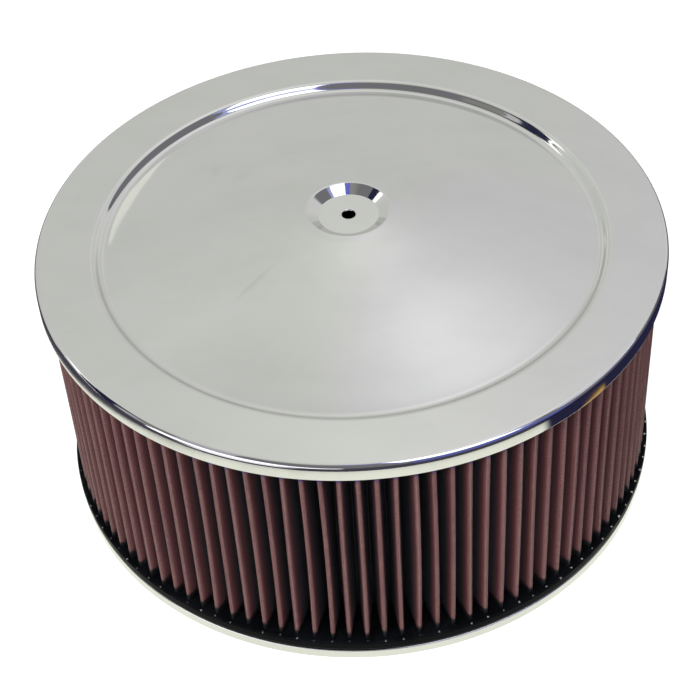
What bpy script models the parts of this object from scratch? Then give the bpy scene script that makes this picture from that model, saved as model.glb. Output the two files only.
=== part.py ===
# Round carburettor air cleaner: pressed lid, pleated filter ring with moulded
# end seals, drop base and neck gasket. Metres, +Z up, origin under the centre
# of the base's rim, which is what the cleaner stands on.

import math

import bmesh
import bpy

# Lid, a pressed sheet
lid_radius = 0.1778
lid_sheet = 0.0009
shoulder_radius = 0.0042
lip_depth = 0.0102
brim_width = 0.0332
step_run = 0.0023
step_depth = 0.0038
step_foot_flat = 0.0035
crown_height = 0.0174
dish_rim_radius = 0.0224
dish_wall_run = 0.0056
dish_depth = 0.0040
dish_rim_round = 0.0020
dish_rim_drop = 0.0008
stud_hole_radius = 0.0042
crown_points = 5
shoulder_points = 3

# Filter ring, a folded pack moulded into two end seals
element_height = 0.1524
pleat_count = 112
pleat_depth = 0.0245
pack_thickness = 0.0012
inside_bend_radius = 0.0005
tip_facets = 3
root_facets = 2

# End seals, with the urethane left outside and inside the pleats
seal_height = 0.0075
seal_floor = 0.0036
seal_cover = 0.0027
seal_inside_cover = 0.0024
corner_points = 3
seal_bevel = 0.0012

# Base, a pressed sheet
base_inset = 0.0007
base_sheet = 0.0009
base_rim_height = 0.0062
rim_corner = 0.0022
locating_step_height = 0.0055
locating_step_run = 0.0012
pan_slope_rise = 0.0020
neck_rise_run = 0.0220
neck_seat_width = 0.0208
neck_seat_height = 0.0340
neck_bore_radius = 0.0652
neck_collar_height = 0.0070
neck_corner = 0.0020

# Gasket under the neck's seat
gasket_thickness = 0.0030
gasket_width = 0.0118
gasket_setback = 0.0010

# Clearances: between pieces that rest on each other, and between the lid's lip and the seal
seat_gap = 0.0003
lip_gap = 0.0005

# Facets round the turned pieces
turn_steps = 56
sharp_angle = math.radians(35)

# Radii that follow from the lid inwards, and from the neck outwards
step_top_radius = lid_radius - brim_width
step_foot_radius = step_top_radius - step_run
dish_floor_radius = dish_rim_radius - dish_wall_run
seal_outer_radius = lid_radius - lid_sheet - lip_gap
seal_corner = shoulder_radius - lid_sheet - lip_gap
pleat_tip_radius = seal_outer_radius - seal_cover
pleat_root_radius = pleat_tip_radius - pleat_depth
seal_inner_radius = pleat_root_radius - seal_inside_cover
base_radius = seal_outer_radius - base_inset
neck_rise_radius = neck_bore_radius + neck_seat_width
pan_rise_radius = neck_rise_radius + neck_rise_run
gasket_inner_radius = neck_bore_radius + gasket_setback
gasket_outer_radius = gasket_inner_radius + gasket_width

# Heights that stack up from the base's rim
seat_height = base_rim_height
ring_bottom = seat_height + seat_gap
ring_top = ring_bottom + element_height
brim_height = ring_top + seat_gap + lid_sheet
pack_bottom = ring_bottom + seal_floor + seat_gap
pack_top = ring_top - seal_floor - seat_gap


def clear_scene():
    for old in list(bpy.data.objects):
        bpy.data.objects.remove(old, do_unlink=True)


def make_finish(name, colour, metallic, roughness):
    finish = bpy.data.materials.new(name)
    finish.use_nodes = True
    shader = finish.node_tree.nodes["Principled BSDF"]
    shader.inputs["Base Color"].default_value = (*colour, 1.0)
    shader.inputs["Metallic"].default_value = metallic
    shader.inputs["Roughness"].default_value = roughness
    finish.diffuse_color = (*colour, 1.0)
    return finish


def add_piece(name, bm, finish):
    mesh = bpy.data.meshes.new(name)
    bm.to_mesh(mesh)
    bm.free()
    mesh.materials.append(finish)
    mesh.shade_smooth()
    mesh.set_sharp_from_angle(angle=sharp_angle)
    piece = bpy.data.objects.new(name, mesh)
    bpy.context.scene.collection.objects.link(piece)
    return piece


def arc(centre_r, centre_z, radius, start, end, points):
    """Points of an arc in the section plane; angles in degrees from +R towards +Z."""
    step = math.radians(end - start) / (points - 1)
    first = math.radians(start)
    return [
        (centre_r + radius * math.cos(first + step * i), centre_z + radius * math.sin(first + step * i))
        for i in range(points)
    ]


def turn(section, closed):
    """Spin a section of (radius, height) points once round the Z axis."""
    bm = bmesh.new()
    verts = [bm.verts.new((r, 0.0, z)) for r, z in section]
    pairs = list(zip(verts, verts[1:]))
    if closed:
        pairs.append((verts[-1], verts[0]))
    edges = [bm.edges.new(pair) for pair in pairs]
    bmesh.ops.spin(
        bm, geom=verts + edges, cent=(0, 0, 0), axis=(0, 0, 1),
        angle=math.tau, steps=turn_steps, use_merge=True,
    )
    bmesh.ops.recalc_face_normals(bm, faces=bm.faces)
    return bm


def give_thickness(piece, sheet):
    """Thicken a turned surface away from its upper, outer side."""
    wall = piece.modifiers.new("sheet", "SOLIDIFY")
    wall.thickness = sheet
    wall.offset = -1.0
    wall.use_even_offset = True


def face_up(bm):
    """Make the normals of an open turned surface point to its upper, outer side."""
    highest = max(bm.faces, key=lambda face: abs(face.normal.z) * face.calc_area())
    if highest.normal.z < 0:
        bmesh.ops.reverse_faces(bm, faces=bm.faces)


def crown_profile():
    """Shallow crown from the dish's rim out to the foot of the step, part of a sphere."""
    inner_r, inner_z = dish_rim_radius, brim_height + crown_height
    outer_r, outer_z = step_foot_radius - step_foot_flat, brim_height - step_depth
    centre_z = (inner_r ** 2 + inner_z ** 2 - outer_r ** 2 - outer_z ** 2) / (2 * (inner_z - outer_z))
    ball_radius = math.hypot(inner_r, inner_z - centre_z)
    points = []
    for i in range(crown_points + 1):
        r = inner_r + (outer_r - inner_r) * i / crown_points
        points.append((r, centre_z + math.sqrt(ball_radius ** 2 - r ** 2)))
    return points


def make_top_lid(finish):
    crown_z = brim_height + crown_height
    floor_z = crown_z - dish_depth
    foot_z = brim_height - step_depth
    section = [(stud_hole_radius, floor_z), (dish_floor_radius, floor_z)]
    section.append((dish_rim_radius - dish_rim_round, crown_z - dish_rim_drop))
    section += crown_profile()
    section.append((step_foot_radius, foot_z))
    section.append((step_top_radius, brim_height))
    shoulder_r = lid_radius - shoulder_radius
    section += arc(shoulder_r, brim_height - shoulder_radius, shoulder_radius, 90, 0, shoulder_points)
    section.append((lid_radius, brim_height - lip_depth))
    bm = turn(section, closed=False)
    face_up(bm)
    lid = add_piece("top_lid", bm, finish)
    give_thickness(lid, lid_sheet)
    return lid


def make_base_plate(finish):
    step_r = seal_inner_radius - seat_gap
    pan_z = seat_height + locating_step_height
    neck_z = neck_seat_height
    collar_r = neck_bore_radius + base_sheet
    section = [(collar_r, neck_z + neck_collar_height), (collar_r, neck_z + neck_corner)]
    section.append((collar_r + neck_corner, neck_z))
    section.append((neck_rise_radius, neck_z))
    section.append((pan_rise_radius, pan_z + pan_slope_rise))
    section.append((step_r - 2 * locating_step_run, pan_z))
    section.append((step_r - locating_step_run, pan_z - locating_step_run))
    section.append((step_r, seat_height))
    corner_r = base_radius - rim_corner
    section += arc(corner_r, seat_height - rim_corner, rim_corner, 90, 0, shoulder_points)
    section.append((base_radius, 0.0))
    bm = turn(section, closed=False)
    face_up(bm)
    base = add_piece("base_plate", bm, finish)
    give_thickness(base, base_sheet)
    return base


def fold_arc(centre_radius, angle, bend, span, facets, outward):
    """Points round one fold of a pleat, in plan, from its low-angle flank to the other."""
    turn_angle = angle if outward else angle + math.pi
    centre = (centre_radius * math.cos(angle), centre_radius * math.sin(angle))
    sweep = span if outward else -span
    points = []
    for i in range(facets + 1):
        a = turn_angle - sweep + 2 * sweep * i / facets
        points.append((centre[0] + bend * math.cos(a), centre[1] + bend * math.sin(a)))
    return points


def pleat_outline(outer_side):
    """Closed zigzag outline of one face of the folded pack, in plan."""
    outside_bend = inside_bend_radius + pack_thickness
    tip_centre = pleat_tip_radius - outside_bend
    root_centre = pleat_root_radius + outside_bend
    half_pitch = math.pi / pleat_count
    dx = tip_centre - root_centre * math.cos(half_pitch)
    dy = root_centre * math.sin(half_pitch)
    reach = math.hypot(dx, dy)
    # a flank is the crossing tangent of the two bends at its ends
    lean = math.atan2(dy, dx) - math.asin((inside_bend_radius + outside_bend) / reach)
    tip_bend = outside_bend if outer_side else inside_bend_radius
    root_bend = inside_bend_radius if outer_side else outside_bend
    tip_span = math.pi / 2 - lean
    root_span = math.pi / 2 - lean - half_pitch
    outline = []
    for i in range(pleat_count):
        angle = 2 * half_pitch * i
        outline += fold_arc(tip_centre, angle, tip_bend, tip_span, tip_facets, True)
        outline += fold_arc(root_centre, angle + half_pitch, root_bend, root_span, root_facets, False)
    return outline


def make_pleated_media(finish):
    bm = bmesh.new()
    rings = []
    for outer_side in (True, False):
        verts = [bm.verts.new((x, y, pack_bottom)) for x, y in pleat_outline(outer_side)]
        rings.append([bm.edges.new(pair) for pair in zip(verts, verts[1:] + verts[:1])])
    floor = [
        bm.faces.new((a.verts[0], a.verts[1], b.verts[1], b.verts[0]))
        for a, b in zip(*rings)
    ]
    lifted = bmesh.ops.extrude_face_region(bm, geom=floor, use_keep_orig=True)["geom"]
    moved = [item for item in lifted if isinstance(item, bmesh.types.BMVert)]
    bmesh.ops.translate(bm, verts=moved, vec=(0, 0, pack_top - pack_bottom))
    bmesh.ops.recalc_face_normals(bm, faces=bm.faces)
    return add_piece("pleated_media", bm, finish)


def make_end_seal(name, finish, at_top):
    """Moulded ring with a channel that the pack's end stands in."""
    groove_outer = pleat_tip_radius + seat_gap
    groove_inner = pleat_root_radius - seat_gap
    section = [
        (seal_inner_radius, 0.0),
        *arc(seal_outer_radius - seal_corner, seal_corner, seal_corner, -90, 0, corner_points),
        (seal_outer_radius, seal_height - seal_bevel),
        (seal_outer_radius - seal_bevel, seal_height),
        (groove_outer, seal_height),
        (groove_outer, seal_floor),
        (groove_inner, seal_floor),
        (groove_inner, seal_height),
        (seal_inner_radius, seal_height),
    ]
    if at_top:
        section = [(r, ring_top - z) for r, z in section]
    else:
        section = [(r, ring_bottom + z) for r, z in section]
    return add_piece(name, turn(section, closed=True), finish)


def make_neck_gasket(finish):
    top = neck_seat_height - base_sheet - seat_gap
    section = [
        (gasket_inner_radius, top - gasket_thickness),
        (gasket_outer_radius, top - gasket_thickness),
        (gasket_outer_radius, top),
        (gasket_inner_radius, top),
    ]
    return add_piece("neck_gasket", turn(section, closed=True), finish)


def build():
    clear_scene()
    chrome = make_finish("chrome", (0.62, 0.62, 0.60), 1.0, 0.08)
    urethane = make_finish("urethane", (0.012, 0.013, 0.016), 0.0, 0.45)
    gauze = make_finish("oiled_gauze", (0.16, 0.05, 0.045), 0.0, 0.75)
    fibre = make_finish("gasket_fibre", (0.03, 0.03, 0.03), 0.0, 0.85)
    make_top_lid(chrome)
    make_base_plate(chrome)
    make_pleated_media(gauze)
    make_end_seal("top_seal", urethane, at_top=True)
    make_end_seal("bottom_seal", urethane, at_top=False)
    make_neck_gasket(fibre)


build()
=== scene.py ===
# Round carburettor air cleaner: a chromed lid and drop base over a pleated ring of
# red oiled gauze, held in black moulded seals, on a white studio floor.

import math
import random

import bmesh
import bpy
from mathutils import Matrix, Vector


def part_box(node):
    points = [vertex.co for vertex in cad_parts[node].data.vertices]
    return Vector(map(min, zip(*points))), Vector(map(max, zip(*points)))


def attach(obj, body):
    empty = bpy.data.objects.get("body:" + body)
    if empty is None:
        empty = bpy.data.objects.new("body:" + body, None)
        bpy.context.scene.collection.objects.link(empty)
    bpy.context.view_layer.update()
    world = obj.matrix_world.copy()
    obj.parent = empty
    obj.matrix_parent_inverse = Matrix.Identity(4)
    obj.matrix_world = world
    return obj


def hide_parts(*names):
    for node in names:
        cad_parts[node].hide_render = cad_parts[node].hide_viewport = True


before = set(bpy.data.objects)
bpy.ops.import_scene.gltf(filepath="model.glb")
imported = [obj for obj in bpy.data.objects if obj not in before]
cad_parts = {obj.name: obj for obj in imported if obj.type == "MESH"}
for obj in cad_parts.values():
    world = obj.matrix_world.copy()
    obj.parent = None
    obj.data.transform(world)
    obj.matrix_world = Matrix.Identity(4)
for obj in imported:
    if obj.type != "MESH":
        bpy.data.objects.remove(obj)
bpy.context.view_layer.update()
print("frame loaded")

# Places that come from the frame
lidFoot, lidTop = (corner.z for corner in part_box("top_lid"))
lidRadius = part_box("top_lid")[1].x
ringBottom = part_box("bottom_seal")[0].z
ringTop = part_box("top_seal")[1].z
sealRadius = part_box("bottom_seal")[1].x
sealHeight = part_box("bottom_seal")[1].z - ringBottom
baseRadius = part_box("base_plate")[1].x
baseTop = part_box("base_plate")[1].z
gasketLow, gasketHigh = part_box("neck_gasket")


# Small tools for the meshes

cutEdges = {
    "bulge": 0.4,         # how far a rounded cut edge stands out, in sheet thicknesses
    "near": 0.0004,       # the two rings of points beside a cut edge
    "far": 0.0010,
}


def roundedPath(corners, roundPoints=8, support=0.0004):
    # corners are (radius, height, rounding); a rounding of 0 keeps the corner as it is
    path = []
    for i, (r, z, rounding) in enumerate(corners):
        here = Vector((r, z))
        if not rounding:
            path.append(here)
            continue
        toLast = (Vector(corners[i - 1][:2]) - here).normalized()
        toNext = (Vector(corners[i + 1][:2]) - here).normalized()
        half = toLast.angle(toNext) / 2
        reach = rounding / math.tan(half)
        centre = here + (toLast + toNext).normalized() * rounding / math.sin(half)
        spoke = here + toLast * reach - centre
        sweep = math.pi - 2 * half
        if toLast.x * toNext.y - toLast.y * toNext.x > 0:
            sweep = -sweep
        path.append(here + toLast * (reach + support))
        for step in range(roundPoints + 1):
            turned = Matrix.Rotation(sweep * step / roundPoints, 2) @ spoke
            path.append(centre + turned)
        path.append(here + toNext * (reach + support))
    return path


def sheetSection(path, thickness):
    # closed section of a pressed sheet: the path, its underside, and two rounded cut edges
    last = len(path) - 1
    under = []
    for i, here in enumerate(path):
        along = (path[min(i + 1, last)] - path[max(i - 1, 0)]).normalized()
        under.append(here + Vector((along.y, -along.x)) * thickness)
    section = list(path)
    ends = ((path[-1], under[-1], path[-2]), (under[0], path[0], path[1]))
    for outer, inner, inside in ends:
        away = ((path[-1] if inner is under[-1] else path[0]) - inside).normalized()
        for turn in (45, 90, 135):
            a = math.radians(turn)
            across = outer.lerp(inner, (1 - math.cos(a)) / 2)
            section.append(across + away * thickness * cutEdges["bulge"] * math.sin(a))
        if inner is under[-1]:
            section += reversed(under)
    return section


def spinSection(section, steps):
    bm = bmesh.new()
    verts = [bm.verts.new((r, 0, z)) for r, z in section]
    edges = [bm.edges.new(pair) for pair in zip(verts, verts[1:] + verts[:1])]
    bmesh.ops.spin(bm, geom=verts + edges, cent=(0, 0, 0), axis=(0, 0, 1),
                   angle=math.tau, steps=steps, use_merge=True)
    bmesh.ops.remove_doubles(bm, verts=bm.verts, dist=1e-7)
    bmesh.ops.recalc_face_normals(bm, faces=bm.faces)
    return bm


def addPiece(name, bm, material, nodes):
    mesh = bpy.data.meshes.new(name)
    bm.to_mesh(mesh)
    bm.free()
    mesh.materials.append(material)
    mesh.shade_smooth()
    mesh.set_sharp_from_angle(angle=math.radians(50))
    piece = bpy.data.objects.new(name, mesh)
    bpy.context.scene.collection.objects.link(piece)
    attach(piece, "root")
    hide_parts(*nodes)
    return piece


def share(value):
    return max(0.0, min(1.0, value))


# Small tools for the materials

class Nodes:
    def __init__(self, owner):
        owner.use_nodes = True
        self.tree = owner.node_tree
        self.tree.nodes.clear()

    def add(self, kind, settings=None, **inputs):
        made = self.tree.nodes.new("ShaderNode" + kind)
        for key, value in (settings or {}).items():
            setattr(made, key, value)
        for key, value in inputs.items():
            self.plug(made, key.replace("_", " "), value)
        return made

    def plug(self, made, key, value):
        # n0, n1 and so on are sockets by number, anything else is a socket's name
        numbered = key[0] == "n" and key[1:].isdigit()
        socket = made.inputs[int(key[1:]) if numbered else key]
        if isinstance(value, bpy.types.NodeSocket):
            self.tree.links.new(value, socket)
        else:
            socket.default_value = value

    def math(self, operation, a, b=0.0):
        return self.add("Math", {"operation": operation}, n0=a, n1=b).outputs[0]

    def plus(self, a, b):
        return self.math("ADD", a, b)

    def minus(self, a, b):
        return self.math("SUBTRACT", a, b)

    def times(self, a, b):
        return self.math("MULTIPLY", a, b)

    def length(self, vector):
        return self.add("VectorMath", {"operation": "LENGTH"}, n0=vector).outputs["Value"]

    def flatLength(self, vector):
        # distance from the upright axis
        flat = self.add("VectorMath", {"operation": "MULTIPLY"}, n0=vector, n1=(1, 1, 0))
        return self.length(flat.outputs[0])

    def noise(self, vector, scale, detail, roughness=0.5):
        return self.add("TexNoise", Vector=vector, Scale=scale, Detail=detail,
                        Roughness=roughness).outputs["Fac"]

    def stretched(self, vector, scale, turn=0):
        return self.add("Mapping", Vector=vector, Rotation=(0, 0, math.radians(turn)),
                        Scale=scale).outputs[0]

    def ramp(self, fac, stops):
        made = self.add("ValToRGB", Fac=fac)
        ends = made.color_ramp.elements
        while len(ends) < len(stops):
            ends.new(0.5)
        for end, (place, colour) in zip(ends, stops):
            end.position = place
            end.color = (*colour, 1)
        return made.outputs["Color"]

    def mix(self, fac, a, b):
        made = self.add("Mix", {"data_type": "RGBA"})
        self.plug(made, "n0", fac)
        for key, tone in (("n6", a), ("n7", b)):
            self.plug(made, key, tone if isinstance(tone, bpy.types.NodeSocket) else (*tone, 1))
        return made.outputs[2]

    def spread(self, value, low, high, outLow=0.0, outHigh=1.0):
        made = self.add("MapRange", {"interpolation_type": "SMOOTHSTEP"})
        for i, item in enumerate((value, low, high, outLow, outHigh)):
            self.plug(made, f"n{i}", item)
        return made.outputs[0]


chrome = {
    "tone": (0.70, 0.70, 0.695),
    "dullTone": (0.672, 0.674, 0.668),
    "wornTone": (0.52, 0.52, 0.51),
    "blotchTurn": 38,               # degrees
    "blotchScale": (16, 26, 16),
    "hairTurn": -24,
    "hairScale": (40, 1400, 40),
    "hairRoughness": 0.02,
    "peelScale": 55.0,
}


def chromeMaterial(name, polish, haze, smears=()):
    material = bpy.data.materials.new(name)
    n = Nodes(material)
    place = n.add("TexCoord").outputs["Object"]
    # faint blotches left by polishing
    drawn = n.stretched(place, chrome["blotchScale"], chrome["blotchTurn"])
    blotch = n.noise(drawn, 1.6, 5.0, 0.6)
    # fine hairlines
    hair = n.noise(n.stretched(place, chrome["hairScale"], chrome["hairTurn"]), 1.0, 2.0)
    # the plating's slight orange peel
    peel = n.noise(place, chrome["peelScale"], 2.0, 0.4)
    tone = n.mix(n.spread(blotch, 0.35, 0.75), chrome["tone"], chrome["dullTone"])
    for x, y, turn, length, width, depth in smears:
        local = n.add("Mapping", {"vector_type": "TEXTURE"}, Vector=place, Location=(x, y, 0),
                      Rotation=(0, 0, math.radians(turn)), Scale=(length, width, 1)).outputs[0]
        inside = n.spread(n.flatLength(local), 1.0, 0.3)
        worn = n.times(inside, n.spread(blotch, 0.3, 0.6, 0.5, 1.0))
        tone = n.mix(n.times(worn, depth), tone, chrome["wornTone"])
    rough = n.plus(n.spread(blotch, 0.4, 0.8, polish, polish + haze),
                   n.times(hair, chrome["hairRoughness"]))
    wavy = n.add("Bump", Height=peel, Strength=0.015, Distance=0.0004).outputs[0]
    scratched = n.add("Bump", Height=hair, Normal=wavy, Strength=0.04, Distance=0.00005)
    shader = n.add("BsdfPrincipled", Base_Color=tone, Metallic=1.0, Roughness=rough,
                   Normal=scratched.outputs[0])
    n.add("OutputMaterial", Surface=shader.outputs[0])
    return material


rubber = {
    "cloudScale": 90.0,
    "paler": 1.9,                   # how much paler its clouds are than its colour
    "fleck": (0.16, 0.17, 0.165),
    "unevenness": 0.08,             # of the roughness, up and down
}


def rubberMaterial(name, colour, flecks, roughness, grain, mirror):
    material = bpy.data.materials.new(name)
    n = Nodes(material)
    place = n.add("TexCoord").outputs["Object"]
    cloud = n.noise(place, rubber["cloudScale"], 4.0)
    fleck = n.add("TexVoronoi", Vector=place, Scale=grain).outputs["Distance"]
    dust = n.spread(fleck, 0.16, 0.06)
    tone = n.mix(n.spread(cloud, 0.35, 0.7), colour, tuple(c * rubber["paler"] for c in colour))
    tone = n.mix(n.times(dust, flecks), tone, rubber["fleck"])
    rough = n.spread(cloud, 0.3, 0.7, roughness - rubber["unevenness"],
                     roughness + rubber["unevenness"])
    raised = n.plus(cloud, n.times(fleck, 0.5))
    bump = n.add("Bump", Height=raised, Strength=0.35, Distance=0.0003).outputs[0]
    shader = n.add("BsdfPrincipled", Base_Color=tone, Roughness=rough, Normal=bump,
                   Specular_IOR_Level=mirror)
    n.add("OutputMaterial", Surface=shader.outputs[0])
    return material


# Lid

lid = {
    "sheet": 0.0009,
    "lipDepth": 0.0102,
    "shoulder": 0.0028,
    "brimWidth": 0.0332,
    "stepRun": 0.0034,
    "stepDepth": 0.0038,
    "stepRound": 0.0040,
    "footFlat": 0.0024,
    "dishRim": 0.0234,
    "dishWallRun": 0.0064,
    "dishDepth": 0.0040,
    "dishRound": 0.0018,
    "dishFootRound": 0.00072,
    "dishSwell": 0.0005,    # the rim stands this much above the crown round it
    "swellRun": 0.0060,
    "swellFade": 0.0200,    # the crown comes back up over this at its outer edge
    "holeRadius": 0.0042,
    "holeLand": 0.0006,     # first ring of the flat round the hole
    "crownPoints": 72,
    "steps": 256,
    "polish": 0.045,
    "haze": 0.05,
}
lidSmears = [           # x, y, turn in degrees, half length, half width, depth
    (-0.0521, -0.0501, 46, 0.022, 0.0022, 0.26),
    (-0.0610, 0.0420, 20, 0.009, 0.0060, 0.13),
    (-0.0760, 0.0525, 95, 0.008, 0.0035, 0.12),
]
brimHeight = lidFoot + lid["lipDepth"]


def crownPath():
    # shallow crown from the dish's rim to the flat round the foot of the step, part of a sphere
    innerR, innerZ = lid["dishRim"], lidTop
    outerR = lidRadius - lid["brimWidth"] - lid["stepRun"] - lid["footFlat"]
    outerZ = brimHeight - lid["stepDepth"]
    centreZ = (innerR ** 2 + innerZ ** 2 - outerR ** 2 - outerZ ** 2) / (2 * (innerZ - outerZ))
    ball = math.hypot(innerR, innerZ - centreZ)
    path = []
    for i in range(lid["crownPoints"] + 1):
        r = innerR + (outerR - innerR) * i / lid["crownPoints"]
        away = min((r - innerR) / lid["swellRun"], (outerR - r) / lid["swellFade"], 1)
        drop = lid["dishSwell"] * away * away * (3 - 2 * away)
        path.append((r, centreZ + math.sqrt(ball ** 2 - r ** 2) - drop, 0))
    return path


def makeLid():
    dishFloor = lidTop - lid["dishDepth"]
    stepTop = lidRadius - lid["brimWidth"]
    corners = [
        (lid["holeRadius"], dishFloor, 0),
        (lid["holeRadius"] + lid["holeLand"], dishFloor, 0),
        (lid["dishRim"] - lid["dishWallRun"], dishFloor, lid["dishFootRound"]),
        (lid["dishRim"], lidTop, lid["dishRound"]),
        *crownPath()[1:],
        (stepTop - lid["stepRun"], brimHeight - lid["stepDepth"], lid["stepRound"]),
        (stepTop, brimHeight, lid["stepRound"]),
        (lidRadius, brimHeight, lid["shoulder"]),
        (lidRadius, lidFoot + cutEdges["far"], 0),
        (lidRadius, lidFoot + cutEdges["near"], 0),
    ]
    bm = spinSection(sheetSection(roundedPath(corners), lid["sheet"]), lid["steps"])
    plated = chromeMaterial("lidChrome", lid["polish"], lid["haze"], lidSmears)
    addPiece("lid_shell", bm, plated, ["top_lid"])
    print("lid made")


# Base

base = {
    "sheet": 0.0009,
    "rimHeight": 0.0062,
    "rimCorner": 0.0009,
    "stepRadius": 0.1465,   # the step that the ring is set round
    "stepHeight": 0.0055,
    "stepRun": 0.0024,
    "stepRound": 0.0012,
    "stepFootRound": 0.0010,
    "panRise": 0.0020,
    "neckRiseRadius": 0.0860,
    "neckRiseRun": 0.0220,
    "neckHeight": 0.0340,
    "neckCorner": 0.0021,
    "boreRadius": 0.0652,
    "fold": 0.0030,
    "steps": 224,
    "polish": 0.16,
    "haze": 0.10,
}


def makeBase():
    bore = base["boreRadius"] + base["sheet"]
    pan = base["rimHeight"] + base["stepHeight"]
    neckRise = base["neckRiseRadius"]
    corners = [
        (bore, baseTop - cutEdges["near"], 0),
        (bore, baseTop - cutEdges["far"], 0),
        (bore, base["neckHeight"], base["neckCorner"]),
        (neckRise, base["neckHeight"], base["fold"]),
        (neckRise + base["neckRiseRun"], pan + base["panRise"], base["fold"]),
        (base["stepRadius"] - base["stepRun"], pan, base["stepRound"]),
        (base["stepRadius"], base["rimHeight"], base["stepFootRound"]),
        (baseRadius, base["rimHeight"], base["rimCorner"]),
        (baseRadius, cutEdges["far"], 0),
        (baseRadius, cutEdges["near"], 0),
    ]
    bm = spinSection(sheetSection(roundedPath(corners), base["sheet"]), base["steps"])
    plated = chromeMaterial("baseChrome", base["polish"], base["haze"])
    addPiece("base_shell", bm, plated, ["base_plate"])
    print("base made")


# Pleated ring

pleats = {
    "count": 112,
    "tipRadius": 0.1737,
    "rootRadius": 0.1492,
    "bend": 0.0008,
    "rootSteps": 3,
    "tipSteps": 4,
    "sheet": 0.0010,
    "levels": 12,
    "sunk": 0.0038,       # how far the ends stand in the seals
    "sway": 0.0008,       # a tip's stray along the ring
    "push": 0.0006,       # a tip's stray inwards
    "pushAll": 0.3,       # share of a second stray, the same all the way up
    "turn": -1.0,         # degrees, so that a tip stands where the photograph has one
}
gauze = {
    "cloth": (0.130, 0.049, 0.052),
    "paleCloth": (0.170, 0.070, 0.070),
    "streak": (0.190, 0.088, 0.085),
    "weave": (0.075, 0.026, 0.028),
    "darkMottle": (0.070, 0.024, 0.030),
    "paleMottle": (0.250, 0.130, 0.115),
    "wire": (0.33, 0.25, 0.24),
    "wirePitch": 0.0018,
    # darker deeper down in the folds, partly oil and partly painted shade: tone, and the depths
    # where it starts and is full
    "foldShadeDepths": [
        ((0.080, 0.023, 0.026), 0.0002, 0.0042),
        ((0.026, 0.0260, 0.0310), 0.0025, 0.0095),
    ],
    "urethane": (0.013, 0.014, 0.017),
    "creep": 0.0055,      # urethane drawn up into the gauze
    "creepBlur": 0.0015,
    "creepStray": 0.010,
    "paintedLidShadow": (0.045, 0.032, 0.19),
    "paintedLidShadowFrom": (0.0078, 0.0050),   # depths below the lip where the painted shadow starts and is full
    "mirror": 0.35,
}
pitch = math.tau / pleats["count"]
ringTurn = math.radians(-90 + pleats["turn"])
packLow, packHigh = ringBottom + pleats["sunk"], ringTop - pleats["sunk"]


def gauzeMaterial():
    material = bpy.data.materials.new("oiledGauze")
    n = Nodes(material)
    place = n.add("TexCoord").outputs["Object"]
    fold = n.add("UVMap", {"uv_map": "fold"}).outputs[0]
    # wire screen: thin bright lines both ways on the unfolded sheet
    bands = math.tau / (20 * gauze["wirePitch"])
    wires = []
    for way in ("X", "Y"):
        wave = n.add("TexWave", {"bands_direction": way}, Vector=fold, Scale=bands, Distortion=0.0)
        wires.append(n.spread(wave.outputs["Fac"], 0.86, 0.97))
    wire = n.math("MAXIMUM", *wires)
    # the gauze's own weave, much finer, and the oil's uneven colour
    weave = n.noise(fold, 1900.0, 2.0)
    mottle = n.noise(fold, 620.0, 3.0, 0.7)
    oil = n.noise(place, 42.0, 4.0, 0.6)
    streak = n.noise(n.stretched(place, (160, 160, 5)), 1.0, 3.0)
    colour = n.mix(n.spread(oil, 0.3, 0.7), gauze["cloth"], gauze["paleCloth"])
    colour = n.mix(n.spread(streak, 0.35, 0.75), colour, gauze["streak"])
    colour = n.mix(n.times(weave, 0.30), colour, gauze["weave"])
    colour = n.mix(n.spread(mottle, 0.42, 0.70, 0.0, 0.55), colour, gauze["darkMottle"])
    colour = n.mix(n.spread(mottle, 0.50, 0.28, 0.0, 0.35), colour, gauze["paleMottle"])
    colour = n.mix(n.times(wire, 0.22), colour, gauze["wire"])
    # painted shade, with some darker oil, deepening from the tips into the folds, near black deep
    # in the valleys
    radius = n.flatLength(place)
    for tone, start, full in gauze["foldShadeDepths"]:
        sunk = n.spread(radius, pleats["tipRadius"] - start, pleats["tipRadius"] - full)
        colour = n.mix(sunk, colour, tone)
    # urethane drawn up the ends of the folds, with a ragged edge
    height = n.add("SeparateXYZ", Vector=place).outputs["Z"]
    ragged = n.times(n.minus(oil, 0.5), gauze["creepStray"])
    low = n.plus(n.minus(height, ringBottom + sealHeight), ragged)
    high = n.plus(n.minus(ringTop - sealHeight, height), ragged)
    soaked = n.spread(n.math("MINIMUM", low, high), gauze["creep"] + gauze["creepBlur"],
                      gauze["creep"] - gauze["creepBlur"])
    colour = n.mix(soaked, colour, gauze["urethane"])
    # painted violet shadow close under the lid
    start, full = (lidFoot - depth for depth in gauze["paintedLidShadowFrom"])
    colour = n.mix(n.spread(height, start, full, 0.0, 0.8), colour, gauze["paintedLidShadow"])
    rough = n.spread(soaked, 0.0, 1.0, 0.55, 0.34)
    raised = n.plus(wire, n.times(weave, 0.4))
    bump = n.add("Bump", Height=raised, Strength=0.5, Distance=0.00025).outputs[0]
    shader = n.add("BsdfPrincipled", Base_Color=colour, Roughness=rough, Normal=bump,
                   Specular_IOR_Level=gauze["mirror"])
    n.add("OutputMaterial", Surface=shader.outputs[0])
    return material


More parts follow.
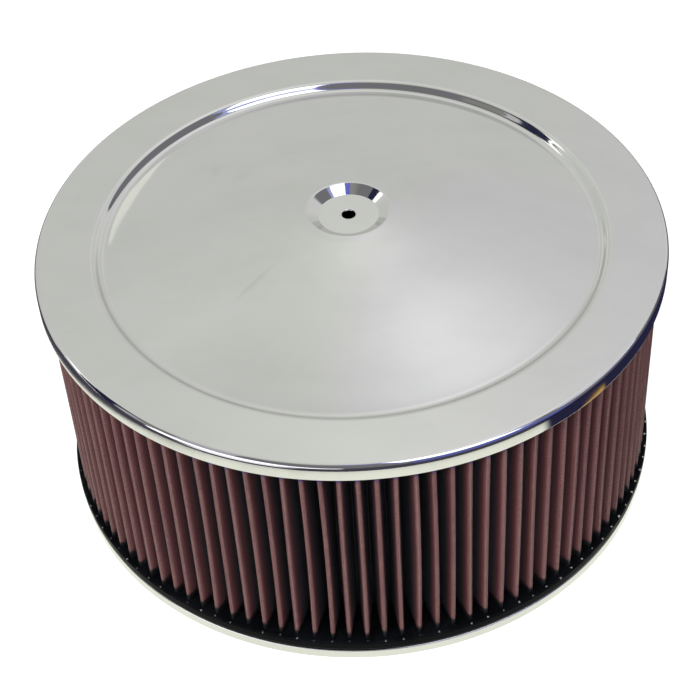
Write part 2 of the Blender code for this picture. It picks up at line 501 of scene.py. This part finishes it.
def pleatProfile():
    # one pleat in plan, from the middle of one root to the middle of the next, round +X
    bend = pleats["bend"]
    rootSteps, tipSteps = pleats["rootSteps"], pleats["tipSteps"]
    halfPitch = math.pi / pleats["count"]
    tipCentre = pleats["tipRadius"] - bend - pleats["sheet"] / 2
    rootCentre = pleats["rootRadius"] + bend + pleats["sheet"] / 2
    dx = tipCentre - rootCentre * math.cos(halfPitch)
    dy = rootCentre * math.sin(halfPitch)
    lean = math.atan2(dy, dx) - math.asin(2 * bend / math.hypot(dx, dy))
    tipSpan = math.pi / 2 - lean
    rootSpan = math.pi / 2 - lean - halfPitch
    points = []
    for j in range(rootSteps + 1):
        a = math.pi - halfPitch - rootSpan * j / rootSteps
        points.append((rootCentre * math.cos(-halfPitch) + bend * math.cos(a),
                       rootCentre * math.sin(-halfPitch) + bend * math.sin(a)))
    for j in range(2 * tipSteps + 1):
        a = -tipSpan + tipSpan * j / tipSteps
        points.append((tipCentre + bend * math.cos(a), bend * math.sin(a)))
    points += [(x, -y) for x, y in reversed(points[:rootSteps + 1])]
    return points


def strayPleats(bm):
    # no fold of a real pack stands quite where its pattern says
    dice = random.Random(7)
    strays = [[dice.uniform(-1, 1) for _ in range(5)] for _ in range(2 * pleats["count"])]
    for vert in bm.verts:
        r, angle = math.hypot(vert.co.x, vert.co.y), math.atan2(vert.co.y, vert.co.x)
        height = (vert.co.z - packLow) / (packHigh - packLow)
        hold = math.sin(math.pi * height)
        out = (r - pleats["rootRadius"]) / (pleats["tipRadius"] - pleats["rootRadius"])
        tip = strays[round(angle / pitch) % pleats["count"]]
        root = strays[pleats["count"] + math.floor(angle / pitch) % pleats["count"]]
        aside = 0.0
        for stray, part in ((tip, out), (root, 1 - out)):
            lean = (stray[0] * (1 - height) + stray[1] * height) / 2
            aside += part * (lean + stray[2] * hold)
        angle += aside * pleats["sway"] / r
        r -= out * pleats["push"] * (abs(tip[3]) * hold + pleats["pushAll"] * abs(tip[4]))
        vert.co.x, vert.co.y = r * math.cos(angle), r * math.sin(angle)


def makePleats():
    bm = bmesh.new()
    run = bm.verts.layers.float.new("run")
    verts = []
    for x, y in pleatProfile():
        vert = bm.verts.new((x, y, packLow))
        if verts:
            vert[run] = verts[-1][run] + (vert.co - verts[-1].co).length
        verts.append(vert)
    pleatRun = verts[-1][run]
    edges = [bm.edges.new(pair) for pair in zip(verts, verts[1:])]
    bmesh.ops.spin(bm, geom=verts + edges, cent=(0, 0, 0), axis=(0, 0, 1), use_duplicate=True,
                   angle=math.tau - pitch, steps=pleats["count"] - 1)
    bmesh.ops.remove_doubles(bm, verts=bm.verts, dist=1e-6)
    rising = list(bm.edges)
    lift = (packHigh - packLow) / pleats["levels"]
    for _ in range(pleats["levels"]):
        made = bmesh.ops.extrude_edge_only(bm, edges=rising)["geom"]
        raised = [item for item in made if isinstance(item, bmesh.types.BMVert)]
        bmesh.ops.translate(bm, verts=raised, vec=(0, 0, lift))
        upper = set(raised)
        rising = [item for item in made if isinstance(item, bmesh.types.BMEdge)
                  and all(vert in upper for vert in item.verts)]
    bmesh.ops.recalc_face_normals(bm, faces=bm.faces)

    # the unfolded sheet in metres: along the folds, and up
    fold = bm.loops.layers.uv.new("fold")
    for face in bm.faces:
        middle = face.calc_center_median()
        index = round(math.atan2(middle.y, middle.x) / pitch)
        past = middle.y * math.cos(index * pitch) > middle.x * math.sin(index * pitch)
        late = past and max(vert[run] for vert in face.verts) > pleatRun / 2
        for loop in face.loops:
            along = loop.vert[run]
            if late and along < pleatRun / 4:
                along = pleatRun
            loop[fold].uv = (index * pleatRun + along, loop.vert.co.z)
    strayPleats(bm)
    bmesh.ops.rotate(bm, verts=bm.verts, cent=(0, 0, 0), matrix=Matrix.Rotation(ringTurn, 3, "Z"))
    piece = addPiece("pleat_pack", bm, gauzeMaterial(), ["pleated_media"])
    wall = piece.modifiers.new("sheet", "SOLIDIFY")
    wall.thickness = pleats["sheet"]
    wall.offset = 0
    print("pleats made")


# Seals

seals = {
    "innerRadius": 0.1468,
    "setback": 0.0002,    # its outside stands this far inside the solid's
    "corner": 0.0028,
    "edge": 0.0012,
    "tipCover": 0.0010,   # the flat reaches in past the tips by this
    "sag": 0.0006,        # lower by this at the roots
    "innerRun": 0.0006,
    "innerSag": 0.0004,
    "innerDrop": 0.0012,
    "bump": 0.0007,       # the small swelling at each tip
    "bumpWidth": 0.0022,
    "bumpFade": 0.002,    # inwards from the tips
    "stepsPerPleat": 8,
    "finish": {"colour": (0.0020, 0.0022, 0.0028), "flecks": 0.10, "roughness": 0.36,
               "grain": 700.0, "mirror": 0.02},
}
beads = {                 # drops of urethane left at the tips, with painted glints on them
    "radius": 0.0007,
    "sizes": (0.7, 1.0),
    "insets": (0.5, 1.2),     # in from the seal's side, in widths of its edge
    "stray": 0.003,           # radians
    "rightGrowth": 0.25,      # larger on the right side of the ring
    # painted glints: their strength, the least share, a random share, and the share added on the
    # right where the light falls
    "paintedGlintStrength": 0.75,
    "leastGlint": 0.15,
    "strayGlint": 0.5,
    "rightGlint": 0.8,
    "black": (0.012, 0.014, 0.014),
    "paintedGlint": (0.62, 0.66, 0.63),
    "roughness": 0.16,
}
sealOuter = sealRadius - seals["setback"]


def makeSeal(name, atTop, node, material):
    inner, height = seals["innerRadius"], sealHeight
    corners = [
        (inner, 0, 0),
        (sealOuter, 0, seals["corner"]),
        (sealOuter, height, seals["edge"]),
        (pleats["tipRadius"] - seals["tipCover"], height, 0),
        (pleats["rootRadius"], height - seals["sag"], 0),
        (inner + seals["innerRun"], height - seals["innerSag"], 0),
        (inner, height - seals["innerDrop"], 0),
    ]
    path = roundedPath(corners, roundPoints=5)
    section = [(r, ringTop - z if atTop else ringBottom + z) for r, z in path]
    bm = spinSection(section, pleats["count"] * seals["stepsPerPleat"])
    dice = random.Random(3 if atTop else 5)
    swell = [dice.uniform(0.4, 1.0) for _ in range(pleats["count"])]
    edge = seals["edge"]
    for vert in bm.verts:
        r, angle = math.hypot(vert.co.x, vert.co.y), math.atan2(vert.co.y, vert.co.x) - ringTurn
        index = round(angle / pitch)
        aside = (angle - index * pitch) * r
        depth = ringTop - vert.co.z if atTop else vert.co.z - ringBottom
        near = math.exp(-(aside / seals["bumpWidth"]) ** 2) * swell[index % pleats["count"]]
        upper = share((depth - height + 2 * edge) / (2 * edge))
        outer = share((r - pleats["tipRadius"] + seals["bumpFade"]) / seals["bumpFade"])
        vert.co.z += near * upper * outer * seals["bump"] * (-1 if atTop else 1)
    addPiece(name, bm, material, [node])


def beadMaterial():
    material = bpy.data.materials.new("urethaneBeadGlints")
    n = Nodes(material)
    # pale spots painted on the drops stand in for glints of the lamps
    paintedGlint = n.add("Attribute", {"attribute_name": "paintedGlint"}).outputs["Fac"]
    grain = n.noise(n.add("TexCoord").outputs["Object"], 1600.0, 2.0)
    tone = n.mix(n.times(paintedGlint, n.spread(grain, 0.3, 0.6)), beads["black"], beads["paintedGlint"])
    shader = n.add("BsdfPrincipled", Base_Color=tone, Roughness=beads["roughness"])
    n.add("OutputMaterial", Surface=shader.outputs[0])
    return material


def makeBeads():
    # a small drop stands where each fold runs into the lower seal
    bm = bmesh.new()
    paintedGlint = bm.verts.layers.float.new("paintedGlint")
    dice = random.Random(11)
    for index in range(pleats["count"]):
        angle = ringTurn + index * pitch + dice.uniform(-beads["stray"], beads["stray"])
        toRight = max(0.0, math.cos(angle))
        size = beads["radius"] * (dice.uniform(*beads["sizes"]) + toRight * beads["rightGrowth"])
        radius = sealOuter - seals["edge"] * dice.uniform(*beads["insets"])
        spot = Matrix.Translation((radius * math.cos(angle), radius * math.sin(angle),
                                   ringBottom + sealHeight))
        made = bmesh.ops.create_icosphere(bm, subdivisions=2, radius=size, matrix=spot)["verts"]
        # the painted glint is stronger on the right, where the light falls on the drops
        paintedGlintStrength = beads["paintedGlintStrength"] * (beads["leastGlint"] + beads["strayGlint"] * dice.random() ** 2
                                  + beads["rightGlint"] * toRight ** 2)
        for vert in made:
            vert[paintedGlint] = paintedGlintStrength
    addPiece("bottom_seal_beads", bm, beadMaterial(), ["bottom_seal"])


def makeSeals():
    urethane = rubberMaterial("urethane", **seals["finish"])
    makeSeal("bottom_seal_ring", False, "bottom_seal", urethane)
    makeSeal("top_seal_ring", True, "top_seal", urethane)
    makeBeads()
    print("seals made")


# Gasket

gasket = {
    "setback": 0.0010,    # its hole stands back from the bore by this
    "rounding": 0.0003,
    "steps": 160,
    "finish": {"colour": (0.022, 0.022, 0.021), "flecks": 0.3, "roughness": 0.75,
               "grain": 420.0, "mirror": 0.3},
}


def makeGasket():
    innerR = base["boreRadius"] + gasket["setback"]
    places = [(innerR, gasketLow.z), (gasketHigh.x, gasketLow.z),
              (gasketHigh.x, gasketHigh.z), (innerR, gasketHigh.z)]
    corners = [(*place, gasket["rounding"]) for place in places]
    around = [(*places[-1], 0), *corners, (*places[0], 0)]
    bm = spinSection(roundedPath(around, roundPoints=3)[1:-1], gasket["steps"])
    fibre = rubberMaterial("gasketFibre", **gasket["finish"])
    addPiece("neck_gasket_ring", bm, fibre, ["neck_gasket"])
    print("gasket made")


# Camera, at the photograph's viewpoint

camera = {
    "distance": 0.9921,     # to the middle of the lid's brim
    "elevation": 40.286,
    "yaw": 0.213,
    "pitch": 3.825,
    "roll": -3.341,
    "lens": 90.34,
}


def makeCamera():
    rise = math.radians(camera["elevation"])
    away = Vector((0, -math.cos(rise), math.sin(rise)))
    target = Vector((0, 0, brimHeight))
    turns = (("yaw", 1, "Y"), ("pitch", -1, "X"), ("roll", 1, "Z"))
    facing = (-away).to_track_quat("-Z", "Y").to_matrix()
    for key, sign, axis in turns:
        facing = facing @ Matrix.Rotation(sign * math.radians(camera[key]), 3, axis)
    data = bpy.data.cameras.new("camera")
    data.lens = camera["lens"]
    data.sensor_width = 36
    data.clip_start = 0.05
    shot = bpy.data.objects.new("camera", data)
    shot.matrix_world = Matrix.Translation(target + away * camera["distance"]) @ facing.to_4x4()
    bpy.context.scene.collection.objects.link(shot)
    bpy.context.scene.camera = shot
    print("camera placed")


# Studio

def direction(azimuth, elevation):
    # azimuth from +Y, the far side, positive to the right
    a, e = math.radians(azimuth), math.radians(elevation)
    return Vector((math.sin(a) * math.cos(e), math.cos(a) * math.cos(e), math.sin(e)))


def stageMesh(name, bm, material):
    mesh = bpy.data.meshes.new(name)
    bm.to_mesh(mesh)
    bm.free()
    mesh.materials.append(material)
    made = bpy.data.objects.new(name, mesh)
    bpy.context.scene.collection.objects.link(made)
    return made


floorLook = {
    "size": 12.0,
    "drop": 0.0002,                 # under the base's rim
    "cameraGlow": 0.86,
    "cameraGrey": (0.3, 0.3, 0.3, 1),       # takes the object's shadow
    "plainGrey": (0.25, 0.25, 0.25, 1),     # throws light up at the object
    # tones that polished metal sees
    "sheet": (1.07, 1.09, 0.95),
    "beyond": (0.075, 0.068, 0.09),
    "right": (0.022, 0.022, 0.06),
    "strip": (1.3, 1.28, 1.4),
    "orange": (0.72, 0.42, 0.10),
    "far": (0.68, 0.69, 0.65),
    # edge of the pale sheet, in metres from the axis
    "sheetRadius": 0.3166,
    "sideLoss": 0.0415,
    "sideTurn": 1.658,              # radians round from the front
    "leftTurns": (-0.5, -1.5),
    "leftLoss": (0.0015, 0.0060),
    "sheetBlur": (0.0020, 0.0045),
    # where the other tones lie: radians round from the front, then metres from the axis
    "rightFrom": ((0.84, 0.90), (0.215, 0.235)),
    "stripFrom": ((-0.95, -0.80), (-0.28, -0.45), (0.48, 0.54)),
    "orangeFrom": ((1.08, 1.11), (1.26, 1.22), (0.2935, 0.2915)),
    "farFrom": (0.9, 1.5),
}


def makeFloor():
    look = floorLook
    material = bpy.data.materials.new("floorWhite")
    n = Nodes(material)
    ray = n.add("LightPath").outputs
    place = n.add("TexCoord").outputs["Object"]
    apart = n.add("SeparateXYZ", Vector=place).outputs
    flat = n.length(place)
    toFront = n.times(apart["Y"], -1.0)
    turned = n.math("ARCTAN2", apart["X"], toFront)
    # a pale round sheet lies under the cleaner, dark beyond it
    side = n.math("ARCTAN2", n.math("ABSOLUTE", apart["X"]), toFront)
    part = n.math("DIVIDE", side, look["sideTurn"])
    edge = n.minus(look["sheetRadius"], n.times(n.times(part, part), look["sideLoss"]))
    loss = n.spread(turned, *look["leftTurns"], *look["leftLoss"])
    beyond = n.plus(n.minus(flat, edge), n.times(part, loss))
    tone = n.mix(n.spread(beyond, *look["sheetBlur"]), look["sheet"], look["beyond"])
    # darker still to the right
    turns, reach = look["rightFrom"]
    right = n.times(n.spread(turned, *turns), n.spread(flat, *reach))
    tone = n.mix(right, tone, look["right"])
    # a bright strip lies further out at the front left
    start, end, reach = look["stripFrom"]
    strip = n.times(n.spread(turned, *start), n.spread(turned, *end))
    tone = n.mix(n.times(strip, n.spread(flat, *reach)), tone, look["strip"])
    # something orange lies at the right
    start, end, reach = look["orangeFrom"]
    there = n.times(n.spread(turned, *start), n.spread(turned, *end))
    there = n.times(there, n.times(n.spread(flat, *reach), right))
    tone = n.mix(there, tone, look["orange"])
    # far behind, the floor runs on into the backdrop
    tone = n.mix(n.spread(apart["Y"], *look["farFrom"]), tone, look["far"])
    seen = n.add("Emission", Color=tone, Strength=1.0).outputs[0]
    plain = n.add("BsdfDiffuse", Color=look["plainGrey"]).outputs[0]
    glow = n.add("Emission", Color=(1, 1, 1, 1), Strength=look["cameraGlow"]).outputs[0]
    soft = n.add("BsdfDiffuse", Color=look["cameraGrey"]).outputs[0]
    lit = n.add("AddShader", n0=glow, n1=soft).outputs[0]
    mirrored = n.math("MAXIMUM", ray["Is Glossy Ray"], ray["Is Transmission Ray"])
    other = n.add("MixShader", n0=mirrored, n1=plain, n2=seen).outputs[0]
    shown = n.add("MixShader", n0=ray["Is Camera Ray"], n1=other, n2=lit).outputs[0]
    n.add("OutputMaterial", Surface=shown)
    bm = bmesh.new()
    bmesh.ops.create_grid(bm, x_segments=1, y_segments=1, size=look["size"] / 2)
    floor = stageMesh("floor", bm, material)
    floor.location.z = -look["drop"]


room = {
    # brightness of the backdrop from the far horizon, at 0, over the top to the one behind, at 1
    "backdrop": [(0.00, 0.685), (0.08, 0.703), (0.15, 0.714), (0.19, 0.708), (0.24, 0.743),
                 (0.32, 0.785), (0.42, 0.716), (0.60, 0.70)],
    "spills": [             # azimuth to the right, elevation, width, added brightness
        (2.8, 49.2, 4.6, 0.150),
        (31.1, 66.1, 9.6, 0.295),
        (-0.5, 40.6, 2.6, 0.080),
        (46.0, 18.0, 9.0, 0.110),
    ],
    "greenish": (0.985, 1.0, 0.95),
    "neutral": (1.0, 1.0, 1.01),
    "lowDusk": (0.085, 0.08, 0.115),
    "dusk": (0.213, 0.210, 0.228),
    "topDusk": (0.33, 0.335, 0.31),
    # where the dark room begins: how far it bends back at the sides, starts, and gives way low left
    "bend": 0.94,
    "start": 0.09,
    "leftBack": 0.42,
}


def makeWorld():
    world = bpy.data.worlds.new("studio")
    bpy.context.scene.world = world
    n = Nodes(world)
    ray = n.add("LightPath").outputs
    where = n.add("TexCoord").outputs["Generated"]
    apart = n.add("SeparateXYZ", Vector=where).outputs
    x, y, z = apart["X"], apart["Y"], apart["Z"]
    # pale backdrop, from the far horizon up to the ceiling
    rise = n.math("ABSOLUTE", z)
    over = n.math("DIVIDE", n.math("ARCTAN2", rise, y), math.pi)
    bright = n.ramp(over, [(place, (tone, tone, tone)) for place, tone in room["backdrop"]])
    # brighter where the ceiling light spills on it
    for azimuth, elevation, width, tone in room["spills"]:
        aim = direction(azimuth, elevation)
        along = n.add("VectorMath", {"operation": "DOT_PRODUCT"}, n0=where, n1=aim).outputs["Value"]
        fall = n.times(n.minus(along, 1.0), math.radians(width) ** -2)
        bright = n.plus(bright, n.times(n.math("EXPONENT", fall), tone))
    # the backdrop is a little green, and neutral to the right and overhead
    lean = n.plus(x, n.times(n.minus(z, 0.65), 0.5))
    neutral = n.times(n.spread(lean, 0.04, 0.20), n.spread(rise, 0.30, 0.50))
    tint = n.mix(neutral, room["greenish"], room["neutral"])
    far = n.add("VectorMath", {"operation": "SCALE"}, n0=tint, Scale=bright).outputs[0]
    # the dark room behind the camera and to the sides, paler straight overhead
    edge = n.plus(n.minus(y, n.times(n.times(x, x), room["bend"])), room["start"])
    lowLeft = n.times(n.spread(x, -0.45, -0.65), n.spread(z, 0.68, 0.58))
    edge = n.plus(edge, n.times(lowLeft, room["leftBack"]))
    dusk = n.mix(n.spread(rise, 0.16, 0.34), room["lowDusk"], room["dusk"])
    dusk = n.mix(n.spread(rise, 0.93, 0.975), dusk, room["topDusk"])
    seenRoom = n.mix(n.spread(edge, -0.02, 0.04), dusk, far)
    seen = n.add("Background", Color=seenRoom, Strength=1.0).outputs[0]
    white = n.add("Background", Color=(1, 1, 1, 1), Strength=1.0).outputs[0]
    shown = n.add("MixShader", n0=ray["Is Camera Ray"], n1=seen, n2=white).outputs[0]
    n.add("OutputWorld", Surface=shown)


# cards that only polished metal sees: upper and lower edge as (azimuth, elevation), and colour;
# then, where they aren't the usual ones, the distance and the point that both are taken from
cards = {
    "pale_card_left": (
        [(-17.3, 10.3), (-21.2, 16.4), (-25.6, 21.2), (-32.4, 25.8)],
        [(-18.3, 6.5), (-24.5, 10.5), (-30.0, 16.0), (-33.5, 23.5)], (0.93, 0.94, 0.87)),
    "white_card_left": (
        [(-54, 44), (-62, 35), (-77, 25), (-92, 5)],
        [(-67, 46), (-70, 36), (-79, 25), (-95, 3)], (1.6, 1.6, 1.6), 3.9),
    "dark_card_left": (
        [(-57, 54), (-65, 43), (-78, 25), (-94, 3)],
        [(-80, 56), (-85, 45), (-94, 27), (-106, 2)], (0.020, 0.022, 0.055)),
    "pale_patch_left": ([(-86, 44), (-94, 46)], [(-91, 30), (-99, 33)], (0.62, 0.62, 0.62)),
    "grey_card_left": ([(-94, 46), (-116, 49)], [(-99, 33), (-120, 38)], (0.29, 0.29, 0.27)),
    # a ceiling light with a blue border
    "white_card_right": (
        [(88, 71), (125, 82), (163, 80)],
        [(121, 43.5), (143, 47.2), (166, 49.5)], (2.4, 2.4, 2.5), 3.8),
    "lilac_card_right": (
        [(82, 69), (97, 58), (122, 39), (168, 40)],
        [(88, 71), (104, 62), (121, 43.5), (166, 50)], (0.42, 0.46, 0.84)),
    "blue_card_right": (
        [(163, 82), (163.5, 75.5), (164, 74), (165.5, 56), (166.5, 42)],
        [(205, 82), (200, 75.5), (170, 74), (169, 56), (168.5, 42)], (0.17, 0.18, 0.72)),
    # close ones, taken from a point on the brim at the left and at the right
    "grey_card_near": (
        [(-78, 59), (-96, 76)],
        [(-111, 30), (-140, 34)], (0.52, 0.51, 0.56), 0.29, (-0.078, -0.160)),
    "thin_card_near": (
        [(62, 34), (79, 47), (101, 59)],
        [(68, 29), (83, 40), (104, 51)], (1.5, 1.55, 2.1), 0.30, (0.130, -0.115)),
    # low ones, out at the front left and front right
    "white_card_back": (
        [(-112, 30), (-146, 28), (-158, 18), (-174, 10)],
        [(-112, 1.5), (-146, 1.5), (-158, 2), (-174, 4)], (2.0, 1.95, 2.1)),
    "thin_card_left": (
        [(-112, 31), (-96, 24), (-75, 13)],
        [(-112, 27), (-96, 20), (-75, 10)], (0.90, 0.88, 0.95)),
    "blue_card_low": ([(114, 33), (165, 34)], [(112, 3), (165, 3)], (0.13, 0.16, 0.52)),
}
lamps = {                   # azimuth, elevation, distance, size, watts, colour
    "lamp_right": (157, 54, 1.6, (0.66, 0.46), 9.5, (1, 1, 1)),
    "lamp_left": (-149, 44, 1.6, (0.56, 0.24), 17.5, (1, 1, 1)),
    "lamp_front": (178, 32, 2.0, (1.2, 0.9), 15, (1, 0.98, 0.96)),
}
lampAim = Vector((0, 0, 0.08))


def makeCard(name, upper, lower, colour, distance=4.0, origin=(0, 0)):
    material = bpy.data.materials.new(name)
    n = Nodes(material)
    glow = n.add("Emission", Color=(*colour, 1), Strength=1.0).outputs[0]
    n.add("OutputMaterial", Surface=glow)
    bm = bmesh.new()
    middle = Vector((*origin, lidTop))
    rows = [[bm.verts.new(direction(*corner) * distance + middle) for corner in edge]
            for edge in (upper, lower)]
    for i in range(len(upper) - 1):
        bm.faces.new((rows[0][i], rows[0][i + 1], rows[1][i + 1], rows[1][i]))
    card = stageMesh(name, bm, material)
    card.visible_camera = False
    card.visible_diffuse = False
    card.visible_shadow = False


def makeLamp(name, azimuth, elevation, distance, size, watts, colour):
    data = bpy.data.lights.new(name, "AREA")
    data.shape = "RECTANGLE"
    data.size, data.size_y = size
    data.energy = watts
    data.color = colour
    lamp = bpy.data.objects.new(name, data)
    toLamp = direction(azimuth, elevation)
    lamp.location = toLamp * distance + lampAim
    lamp.rotation_euler = toLamp.to_track_quat("Z", "Y").to_euler()
    lamp.visible_glossy = False
    bpy.context.scene.collection.objects.link(lamp)


def makeStudio():
    makeFloor()
    makeWorld()
    for name, card in cards.items():
        makeCard(name, *card)
    for name, lamp in lamps.items():
        makeLamp(name, *lamp)
    print("studio set")


makeCamera()
makeLid()
makeBase()
makePleats()
makeSeals()
makeGasket()
makeStudio()
bpy.context.scene.view_settings.view_transform = "Standard"
